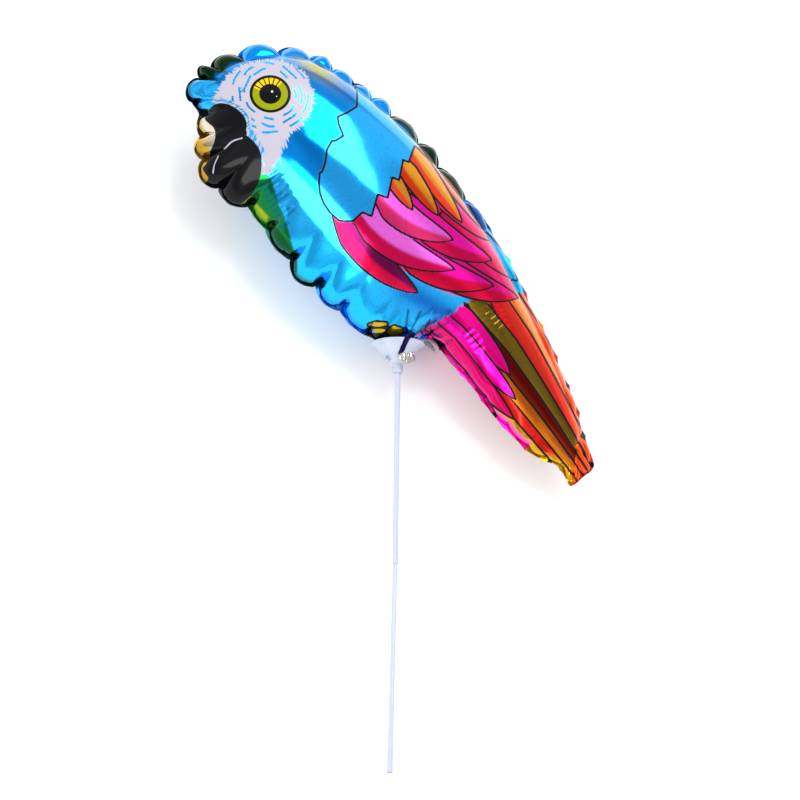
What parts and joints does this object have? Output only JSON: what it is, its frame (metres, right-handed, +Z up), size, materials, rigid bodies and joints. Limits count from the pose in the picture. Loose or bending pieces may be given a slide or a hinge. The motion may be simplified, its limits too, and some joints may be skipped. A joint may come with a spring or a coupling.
{
  "type": "parrot foil balloon",
  "caption": "Inflated foil balloon in the shape of a perched macaw, on a plastic cup and stick, lying on its side.",
  "frame": {"origin": "middle of the footprint, on the surface that the balloon lies on", "axes": "+Z up out of the near sheet; +Y from the stick's far end towards the head, along the whole toy; +X towards the tail's side"},
  "size_m": [0.3078, 0.5546, 0.1089],
  "materials": {
    "printed_foil": "gloss printed metallised film",
    "cup_plastic": "satin moulded polypropylene",
    "stick_plastic": "translucent extruded polypropylene tube"
  },
  "bodies": {
    "root": {"foil_balloon": "printed_foil", "balloon_cup": "cup_plastic", "stick_upper": "stick_plastic", "stick_lower": "stick_plastic"}
  },
  "joints": []
}
